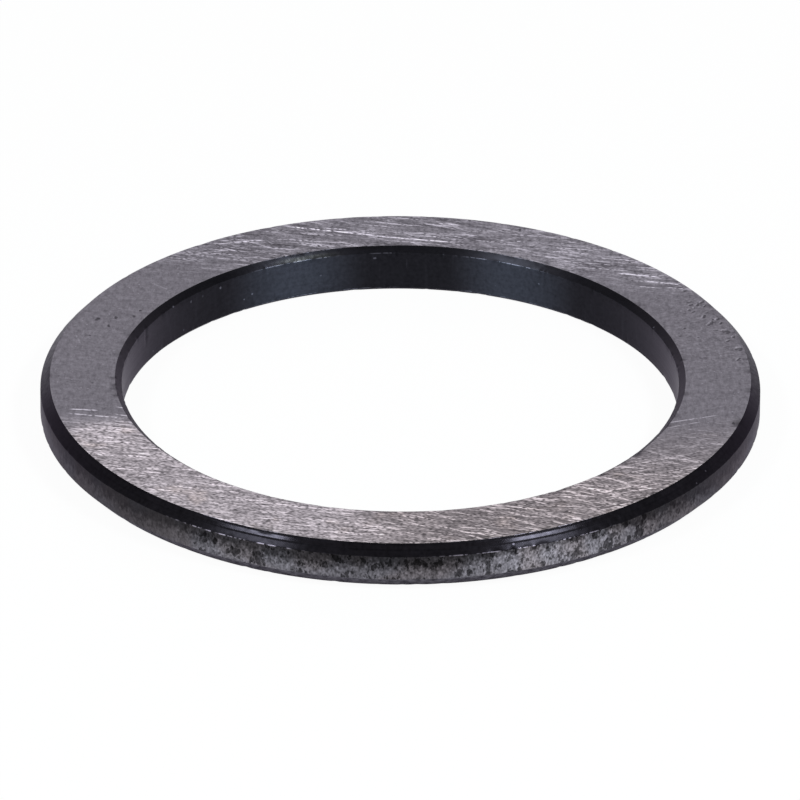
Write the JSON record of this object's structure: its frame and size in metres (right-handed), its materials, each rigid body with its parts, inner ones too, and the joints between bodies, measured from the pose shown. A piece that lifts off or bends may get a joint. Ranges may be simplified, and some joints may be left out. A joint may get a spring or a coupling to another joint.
{
  "type": "shim ring",
  "caption": "Flat steel shim ring with a large bore and chamfered edges, that takes up end play between a shoulder and a bearing.",
  "frame": {"origin": "centre of the underside, on the ring's axis", "axes": "+Z along the bore axis, out of the upper face, which has the larger chamfer on its bore edge"},
  "size_m": [0.075, 0.075, 0.005],
  "materials": {
    "steel": "hardened steel: ground grey on the faces, blackened on the rim, bore and chamfers"
  },
  "bodies": {
    "root": {"shim_ring": "steel"}
  },
  "joints": []
}
